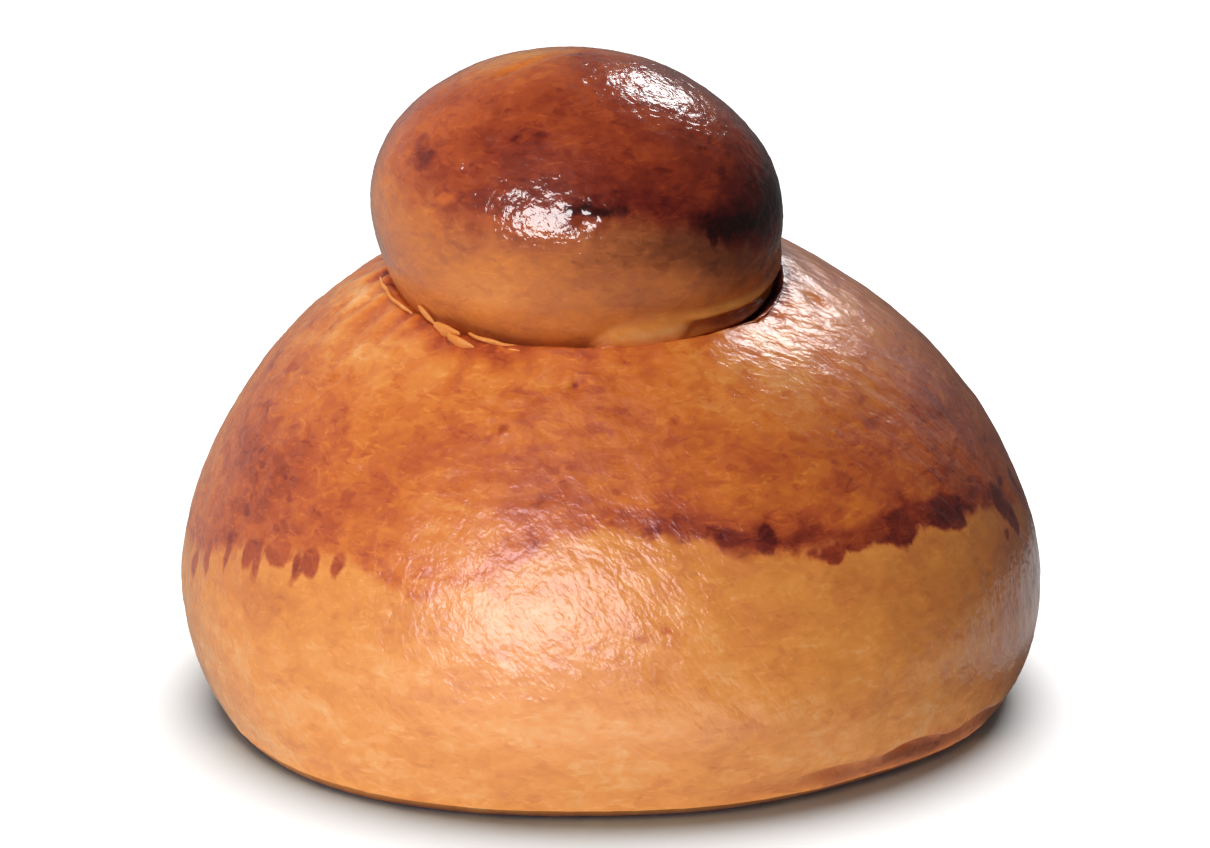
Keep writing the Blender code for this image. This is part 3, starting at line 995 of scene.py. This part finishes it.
def mottling(tree, strength):
    wide = millimetres(tree, WIDE)
    flat = millimetres(tree, FLAT)

    def cloud(place, size, detail, distortion=0.0):
        return add(tree, "TexNoise", {"Vector": place, "Scale": 1 / size, "Detail": detail,
                                      "Roughness": 0.55, "Distortion": distortion})

    mottle = cloud(wide, MOTTLE, 2.0, 0.6)
    warped = add(tree, "VectorMath", {0: mottle.outputs["Color"], 1: [SPILL_BEND] * 3, 2: wide},
                 operation="MULTIPLY_ADD")
    spill = add(tree, "TexVoronoi", {"Vector": warped, "Scale": 1 / SPILL})
    shade = add(tree, "SeparateColor", {"Color": spill.outputs["Color"]})
    rim = add(tree, "TexVoronoi", {"Vector": warped, "Scale": 1 / SPILL},
              feature="DISTANCE_TO_EDGE")
    faded = add(tree, "MapRange", {"Value": cloud(wide, VEIN_FADE, 2.0), "From Min": 0.60,
                                   "From Max": 0.48, "To Max": 0.10})
    vein = add(tree, "Math", {0: rim, 1: faded}, operation="ADD")
    # Each is (pattern, where its edge starts, where it ends, browning before, browning after).
    steps = ((cloud(wide, BLOTCH, 2.0), 0.38, 0.62, -0.07, 0.07),
             (mottle, 0.44, 0.56, -0.045, 0.045),
             (cloud(wide, FLECK, 2.0), 0.25, 0.75, -0.04, 0.04),
             (shade, 0.0, 1.0, -0.04, 0.04),
             (cloud(wide, SPOT, 1.0, 0.5), 0.60, 0.72, 0.0, 0.13),
             (cloud(flat, CURL, 3.0, 1.2), 0.60, 0.67, 0.0, 0.11),
             (vein, 0.02, 0.12, -0.06, 0.0),
             (cloud(flat, WISP, 2.0, 1.0), 0.59, 0.68, 0.0, -0.12))
    total = 0.0
    for pattern, start, end, before, after in steps:
        step = add(tree, "MapRange", {"Value": pattern, "From Min": start, "From Max": end,
                                      "To Min": before, "To Max": after},
                   interpolation_type="SMOOTHSTEP")
        total = add(tree, "Math", {0: step, 1: total}, operation="ADD")
    return add(tree, "Math", {0: total, 1: strength}, operation="MULTIPLY")


# %% [markdown]
# ## The tide line in the material
#
# The mesh says how far above the tide line each point is. The material adds a ragged edge of
# about half a millimetre and turns the height into a step from gold to brown. Just above the
# line the wash gathered, so the crust there is a shade darker. The dried drops are cut out of
# their own distances in the same way. Above the line and inside the drops the colour comes
# from the washed steps, elsewhere from the bare ones.

# %% Browning from the mesh and the nodes
RAGGED_SIZE = 1.6                     # mm, the teeth of the tide line
GATHERED_OVER = 5.0                   # mm above the line where the wash gathered
DROP_RAGGED = 0.5                     # mm
DROP_EDGE = (-0.28, 0.32)             # mm outside and inside a drop's edge, where it fades


def crust_colour(tree, level, colours):
    """A colour ramp from pale dough to nearly burnt."""
    ramp = add(tree, "ValToRGB", {"Fac": level})
    stops = ramp.color_ramp.elements
    while len(stops) < len(colours):
        stops.new(0.5)
    for stop, (place, colour) in zip(stops, colours):
        stop.position = place
        stop.color = linear(colour)
    return ramp


def browning(tree, edge_softness, ragged_edge, belt, strength, calm):
    """The crust's colour, from the mesh's pattern, the step at the tide line, and mottling."""
    height = add(tree, "Attribute", attribute_name="tide").outputs["Fac"]
    level = add(tree, "Attribute", attribute_name="browning").outputs["Fac"]
    ragged = add(tree, "TexNoise", {"Vector": millimetres(tree, (1.0, 1.0, 1.8)),
                                    "Scale": 1 / RAGGED_SIZE, "Detail": 3.0,
                                    "Roughness": 0.6})
    edge = add(tree, "MapRange", {"Value": ragged, "To Min": -ragged_edge,
                                  "To Max": ragged_edge})
    height = add(tree, "Math", {0: height, 1: edge}, operation="ADD")
    washed = add(tree, "MapRange", {"Value": height, "From Min": -edge_softness,
                                    "From Max": edge_softness},
                 interpolation_type="SMOOTHSTEP")
    gathered = add(tree, "MapRange", {"Value": height, "From Min": GATHERED_OVER,
                                      "From Max": 0.0, "To Max": belt},
                   interpolation_type="SMOOTHSTEP")
    upper = add(tree, "Math", {0: level, 1: gathered}, operation="ADD")
    bare = add(tree, "Attribute", attribute_name="bare").outputs["Fac"]
    both = add(tree, "Mix", {0: washed, 2: bare, 3: upper}, data_type="FLOAT")
    depth = add(tree, "Attribute", attribute_name="drops").outputs["Fac"]
    edge = add(tree, "MapRange", {"Value": ragged, "To Min": -DROP_RAGGED,
                                  "To Max": DROP_RAGGED})
    depth = add(tree, "Math", {0: edge, 1: depth}, operation="ADD")
    dried = add(tree, "MapRange", {"Value": depth, "From Min": DROP_EDGE[0],
                                   "From Max": DROP_EDGE[1]},
                interpolation_type="SMOOTHSTEP")
    drop = add(tree, "Attribute", attribute_name="drop_browning").outputs["Fac"]
    both = add(tree, "Mix", {0: dried, 2: both, 3: drop}, data_type="FLOAT")
    amount = add(tree, "MapRange", {"Value": washed, "To Min": calm * strength,
                                    "To Max": strength})
    level = add(tree, "Math", {0: both, 1: mottling(tree, amount)}, operation="ADD")
    washed = add(tree, "Math", {0: washed, 1: dried}, operation="MAXIMUM")
    return add(tree, "Mix", {0: washed, 6: crust_colour(tree, level, BARE_COLOURS),
                             7: crust_colour(tree, level, WASHED_COLOURS)}, data_type="RGBA")


# %% [markdown]
# ## The skin too fine for the mesh
#
# Wrinkles of about a millimetre are left to bump, which tilts the light without moving points.
# They are drawn out in the same direction as the leather relief. Their heights are in
# millimetres, and the bump node is told that one unit is a millimetre. Most of the wrinkling
# is in the glaze, which shrank as it dried, so the crust under it gets a weaker bump.

# %% Fine wrinkles
PORE = 0.4        # mm, about twice as coarse as real


def fine_skin(tree, wrinkle, wrinkle_height, pore_height, drawn_out):
    """Heights in mm. The wrinkles are wrinkle mm wide, and drawn_out times as long in the
    direction of rolling. Pores go on top of them."""
    drawn = millimetres(tree, (drawn_out, 1.0, 1.0), (0.0, 51.0, 14.0))
    ripple = add(tree, "TexNoise", {"Vector": drawn, "Scale": 1 / wrinkle, "Detail": 2.0,
                                    "Roughness": 0.5, "Distortion": 0.4})
    pore = add(tree, "TexNoise", {"Vector": drawn, "Scale": 1 / PORE, "Detail": 1.0})
    relief = add(tree, "Math", {0: ripple, 1: wrinkle_height}, operation="MULTIPLY")
    return add(tree, "Math", {0: pore, 1: pore_height, 2: relief}, operation="MULTIPLY_ADD")


# %% [markdown]
# ## Golden crust: egg-washed and baked
#
# The bun's crust is dried dough under a film of baked egg, which was brushed on. The dough
# itself is dull: its roughness is near 0.5, and its pores leave it little shine of its own, so
# its specular level is low. The egg is a clear film with an index of refraction of about 1.5,
# which is the coat here. It dried a little cloudy, so it is fairly rough, and its reflections
# are broad and soft. The brush missed the last three millimetres above the tray, so the coat
# fades out there.

# %% Crust of the bun
GLAZE_IOR = 1.5
PATCHY_SIZE, PATCHY_SWING = 7.0, 0.18     # mm, and how far the dough's roughness varies
BRUSHED_FROM, BRUSHED_FULLY = 0.6, 3.0    # mm above the tray


def baked_crust(name, edge_softness, ragged_edge, belt, strength, calm, dull, dull_gloss,
                wrinkles, under, coat, coat_rough):
    """Baked dough under egg glaze. The tide line is edge_softness mm soft and ragged_edge mm
    ragged, and belt is how much browner the crust is just above it. strength is that of the
    mottling, and calm its share below the line. dull and dull_gloss are the dough's own
    roughness and specular level. wrinkles go to fine_skin, and under is how much of them shows
    in the dough. coat and coat_rough are the glaze's weight and roughness."""
    material, tree = new_material(name)
    colour = browning(tree, edge_softness, ragged_edge, belt, strength, calm)
    relief = fine_skin(tree, *wrinkles)
    patchy = add(tree, "TexNoise", {"Vector": millimetres(tree), "Scale": 1 / PATCHY_SIZE,
                                    "Detail": 3.0})
    roughness = add(tree, "MapRange", {"Value": patchy, "To Min": dull - PATCHY_SWING,
                                       "To Max": dull + PATCHY_SWING})
    height = add(tree, "SeparateXYZ", {"Vector": millimetres(tree)}).outputs["Z"]
    reached = add(tree, "MapRange", {"Value": height, "From Min": BRUSHED_FROM,
                                     "From Max": BRUSHED_FULLY})
    shader = add(tree, "BsdfPrincipled", {
        "Base Color": colour,
        "Roughness": roughness,
        "IOR": GLAZE_IOR,
        "Specular IOR Level": dull_gloss,
        "Normal": add(tree, "Bump", {"Height": relief, "Distance": MM, "Strength": under}),
        "Coat Normal": add(tree, "Bump", {"Height": relief, "Distance": MM, "Strength": 1.0}),
        "Coat Weight": add(tree, "Math", {0: reached, 1: coat}, operation="MULTIPLY"),
        "Coat Roughness": coat_rough,
        "Coat IOR": GLAZE_IOR,
    })
    add(tree, "OutputMaterial", {"Surface": shader})
    return material


golden_crust = baked_crust("egg-washed golden crust", edge_softness=0.9, ragged_edge=0.8,
                           belt=0.03, strength=0.55, calm=0.8, dull=0.5, dull_gloss=0.12,
                           wrinkles=(1.1, 0.21, 0.06, 2.2), under=0.12,
                           coat=0.95, coat_rough=0.26)
bun.data.materials.append(golden_crust)

# %% [markdown]
# ## Mahogany crust: a thicker glaze
#
# The topknot got the most wash, and it set as a smooth dark varnish, half as rough as the
# bun's. Its reflections are small and bright, and the wrinkles in the egg break up their rims
# into sparks. The dough under it shows hardly any shine, so that the mahogany stays deep.

# %% Crust of the topknot
mahogany_crust = baked_crust("mahogany egg glaze", edge_softness=1.0, ragged_edge=0.4,
                             belt=0.06, strength=0.42, calm=0.9, dull=0.4, dull_gloss=0.05,
                             wrinkles=(0.75, 0.12, 0.03, 1.4), under=0.2,
                             coat=1.0, coat_rough=0.13)
knot.data.materials.append(mahogany_crust)

# %% [markdown]
# ## Torn skin
#
# The leaves in the seam never met the wash, so they are pale, dry and even. Only a little
# mottling is added.

# %% Crust of the leaves
TORN_LEVEL, TORN_MOTTLING = 0.27, 0.4
torn_skin, tree = new_material("torn pale skin")
pale = add(tree, "Math", {0: mottling(tree, TORN_MOTTLING), 1: TORN_LEVEL}, operation="ADD")
dry = fine_skin(tree, 1.1, 0.12, 0.03, 2.0)
shader = add(tree, "BsdfPrincipled", {
    "Base Color": crust_colour(tree, pale, BARE_COLOURS), "Roughness": 0.5, "IOR": GLAZE_IOR,
    "Specular IOR Level": 0.25,
    "Normal": add(tree, "Bump", {"Height": dry, "Distance": MM})})
add(tree, "OutputMaterial", {"Surface": shader})
leaves.data.materials.append(torn_skin)

# %% [markdown]
# ## The table
#
# A wide sheet of matt white paper. Bread throws orange light into its own shadow, and a camera
# is usually balanced against that. Here a pale blue paper under a warm lamp does it: together
# they give a neutral white and a grey shadow.
#
# The paper is hidden from the glaze and from bounced light. What it throws back at the loaf
# comes from small lamps further down, which can be set one by one.

# %% Floor
FLOOR_HALF = 4.0              # metres
TOOTH, TOOTH_DEPTH = 2.0, 0.02            # mm; the paper's tooth is drawn coarser than real
paper = bpy.data.meshes.new("floor")
corners = [(-FLOOR_HALF, -FLOOR_HALF), (FLOOR_HALF, -FLOOR_HALF),
           (FLOOR_HALF, FLOOR_HALF), (-FLOOR_HALF, FLOOR_HALF)]
paper.from_pydata([(x, y, 0.0) for x, y in corners], [], [(0, 1, 2, 3)])
floor = bpy.data.objects.new("floor", paper)
bpy.context.scene.collection.objects.link(floor)

matt_paper, tree = new_material("matt white paper")
tooth = add(tree, "TexNoise", {"Vector": millimetres(tree), "Scale": 1 / TOOTH, "Detail": 3.0})
shader = add(tree, "BsdfPrincipled", {
    "Base Color": linear("#bce0f9"), "Roughness": 0.9,
    "Normal": add(tree, "Bump", {"Height": tooth, "Distance": TOOTH_DEPTH * MM})})
add(tree, "OutputMaterial", {"Surface": shader})
paper.materials.append(matt_paper)
floor.visible_glossy = False
floor.visible_diffuse = False

# %% [markdown]
# ## The backdrop
#
# A ring of evenly lit cloth stands far out around the loaf, so that low views end in a pale
# wall. It is there for the eye only: it lights nothing and shades nothing.

# %% Backdrop
WALL_AROUND, WALL_HEIGHT, WALL_RADIUS = 48, 2.6, 3.92       # metres
wall_turns = [2.0 * math.pi * i / WALL_AROUND for i in range(WALL_AROUND)]
rim = [(WALL_RADIUS * math.cos(a), WALL_RADIUS * math.sin(a)) for a in wall_turns]
cloth = bpy.data.meshes.new("backdrop")
cloth.from_pydata([(x, y, z) for z in (0.0, WALL_HEIGHT) for x, y in rim], [],
                  [(i, (i + 1) % WALL_AROUND, WALL_AROUND + (i + 1) % WALL_AROUND,
                    WALL_AROUND + i) for i in range(WALL_AROUND)])
cloth.shade_smooth()
backdrop = bpy.data.objects.new("backdrop", cloth)
bpy.context.scene.collection.objects.link(backdrop)
for sees in ("diffuse", "glossy", "shadow", "transmission"):
    setattr(backdrop, "visible_" + sees, False)

lit_cloth, tree = new_material("evenly lit cloth")
glowing = add(tree, "Emission", {"Color": linear("#f1f1f1"), "Strength": 1.0})
add(tree, "OutputMaterial", {"Surface": glowing})
lit_cloth.cycles.emission_sampling = "NONE"
cloth.materials.append(lit_cloth)

# %% [markdown]
# ## Light
#
# Food is lit from behind as much as from the front, so that the glaze shines. A lamp makes
# both shine and shading, and on a loaf the two are hard to please at once. So most lamps here
# do one of them. The boxes make only shine: one behind at the right for the bright patches on
# top of the topknot and on the right shoulder, and one in front at the left for the sheen on
# the front. The bun and the topknot have their own, because their glazes differ. A wide dim
# wall around each of the bun's boxes makes the soft edge of its sheen. Two big sheets make
# only shading.

# %% Soft boxes
middle = Vector((0.0, 0.0, 0.04))


def aimed(name, light, turn, elevation, distance=1.0):
    """A lamp aimed at the loaf. turn is measured as for the loaf: 0 is the front."""
    lamp = bpy.data.objects.new(name, light)
    side, rise = math.radians(turn), math.radians(elevation)
    away = Vector((math.sin(side) * math.cos(rise), -math.cos(side) * math.cos(rise),
                   math.sin(rise)))
    lamp.location = middle + away * distance
    lamp.rotation_euler = away.to_track_quat("Z", "Y").to_euler()
    bpy.context.scene.collection.objects.link(lamp)
    return lamp


def soft_box(name, turn, elevation, distance, width, height, radiance):
    """A flat lamp of this width and height in metres. radiance is how bright its face is."""
    light = bpy.data.lights.new(name, "AREA")
    light.shape = "RECTANGLE"
    light.size, light.size_y = width, height
    light.energy = radiance * math.pi * width * height
    return aimed(name, light, turn, elevation, distance)


# name, turn, elevation, distance, width, height, radiance
knot_back = soft_box("knot_back_box", 155.0, 39.0, 0.9, 0.25, 0.21, 14.5)
knot_front = soft_box("knot_front_box", -18.0, 20.0, 0.95, 0.55, 0.40, 18.0)
bun_back = soft_box("bun_back_box", 154.0, 39.0, 0.9, 0.34, 0.28, 13.0)
bun_front = soft_box("bun_front_box", -16.0, 17.0, 0.95, 0.66, 0.42, 9.3)
front_wall = soft_box("front_wall", -22.0, 14.0, 0.95, 1.15, 0.85, 1.6)
back_wall = soft_box("back_wall", 148.0, 34.0, 0.9, 0.9, 0.7, 0.28)
for box in (knot_back, knot_front, bun_back, bun_front, front_wall, back_wall):
    box.visible_diffuse = False
for box in (bun_front, front_wall):       # as cool as daylight, over the warm crust
    box.data.color = linear("#dfeaff")[:3]
left_sheet = soft_box("left_sheet", -25.0, 47.0, 1.3, 0.8, 1.6, 4.0)
back_sheet = soft_box("back_sheet", -152.0, 36.0, 1.3, 1.0, 1.0, 2.3)
for sheet in (left_sheet, back_sheet):
    sheet.visible_glossy = False

# %% [markdown]
# The paper has a lamp of its own, high up and a little behind the loaf. It is like a bright
# sky: its light comes from so wide a patch that the shadow is soft, and it is the same
# everywhere on the paper.
#
# The last lamps stand for paper that throws light back. Two strips lie in front of the loaf
# and at its right, and make pale streaks in the glaze low on the bun. A wide patch at the front
# left and a dimmer one beside it fill the shadow under the belly. Each lamp is linked to the
# pieces that it may light.

# %% Paper and bounce
sky = bpy.data.lights.new("paper_light", "SUN")
sky.angle = math.radians(56.0)
sky.energy = 8.2
sky.color = linear("#ffd6c0")[:3]
paper_light = aimed("paper_light", sky, 175.0, 73.0)


def lit_strip(name, x, y, width, depth, radiance):
    """A lit patch of the paper beside the loaf, which shines upwards."""
    strip = soft_box(name, 0.0, -90.0, 0.0, width, depth, radiance)
    strip.location = (x, y, MM)           # just clear of the paper
    strip.rotation_euler = (math.pi, 0.0, 0.0)
    strip.visible_camera = False
    return strip


def light_only(name, pieces, lamps):
    """Lets these lamps light only these pieces."""
    lit = bpy.data.collections.new(name)
    for piece in pieces:
        lit.objects.link(piece)
    for lamp in lamps:
        lamp.light_linking.receiver_collection = lit


# name, x, y, width, depth, radiance
front_strip = lit_strip("front_strip", -0.025, -0.088, 0.11, 0.06, 1.4)
right_strip = lit_strip("right_strip", 0.095, 0.010, 0.075, 0.11, 0.60)
bounce = lit_strip("bounce", -0.125, -0.146, 0.35, 0.25, 0.88)
side_bounce = lit_strip("side_bounce", -0.150, 0.040, 0.20, 0.12, 0.45)
front_strip.visible_diffuse = False
for strip in (bounce, side_bounce):
    strip.visible_glossy = False
light_only("floor alone", (floor,), (paper_light,))
light_only("whole loaf", (bun, knot, leaves), (left_sheet, back_sheet, bounce, side_bounce))
light_only("knot alone", (knot,), (knot_back, knot_front))
light_only("bun alone", (bun, leaves),
           (bun_back, bun_front, front_wall, back_wall, front_strip, right_strip))

# %% [markdown]
# ## The room
#
# A dim pale room fills what the lamps leave dark. It is brighter at the left, as beside a
# window, which shows as a pale rim along the loaf's left edge. Two small glows finish the
# glaze: one from low behind, and one from low in front.

# %% Room
room = bpy.data.worlds.new("pale room")
room.use_nodes = True
tree = room.node_tree
BRIGHT_SIDE = (-0.9, 0.2, -0.4)         # towards the left, and a little to the back and down
ray = add(tree, "TexCoord").outputs["Generated"]
heading = add(tree, "SeparateXYZ", {"Vector": ray})
parts = []


def glow(places, strength):
    """Adds a glow to the room. It is the product of steps, each (value, from, to)."""
    total = None
    for value, start, end in places:
        step = add(tree, "MapRange", {"Value": value, "From Min": start, "From Max": end},
                   interpolation_type="SMOOTHSTEP")
        total = step if total is None else add(tree, "Math", {0: total, 1: step},
                                               operation="MULTIPLY")
    parts.append(add(tree, "Math", {0: total, 1: strength}, operation="MULTIPLY"))


def towards(direction):
    dot = add(tree, "VectorMath", {0: ray, 1: direction}, operation="DOT_PRODUCT")
    return dot.outputs["Value"]


up_way, back_way = heading.outputs["Z"], heading.outputs["Y"]
DIM_ROOM = 0.07
glow([(towards(BRIGHT_SIDE), -0.15, 1.15)], 0.43)
# Low in front
glow([(up_way, -0.45, -0.70), (up_way, -0.97, -0.85), (back_way, 0.1, -0.3)], 0.25)
# Low behind
glow([(up_way, -0.02, 0.06), (up_way, 0.40, 0.15), (back_way, 0.5, 0.95)], 0.10)
total = DIM_ROOM
for part in parts:
    total = add(tree, "Math", {0: part, 1: total}, operation="ADD")
tree.links.new(total.outputs["Value"], tree.nodes["Background"].inputs["Strength"])
tree.nodes["Background"].inputs["Color"].default_value = linear("#ffffff")
bpy.context.scene.world = room

# %% [markdown]
# ## Camera
#
# The camera stands half a metre away and looks down by 16 degrees, so the loaf is seen from
# just above its shoulder. A long lens keeps the two balls in proportion.

# %% Camera
CAMERA_DISTANCE = 0.5
CAMERA_ELEVATION = math.radians(16.0)
LENS = 128.3
AIM_ASIDE, AIM_HEIGHT = -0.7, 31.2        # mm from the bun's axis and above the tray
AIM = Vector((bun_axis[0] + AIM_ASIDE, bun_axis[1], AIM_HEIGHT)) * MM

eye = bpy.data.cameras.new("camera")
eye.lens = LENS
camera = bpy.data.objects.new("camera", eye)
back = Vector((0.0, -math.cos(CAMERA_ELEVATION), math.sin(CAMERA_ELEVATION)))
camera.location = AIM + back * CAMERA_DISTANCE
camera.rotation_euler = back.to_track_quat("Z", "Y").to_euler()
bpy.context.scene.collection.objects.link(camera)
bpy.context.scene.camera = camera
bpy.context.scene.view_settings.view_transform = "Standard"
print("camera at", [round(v, 3) for v in camera.location])
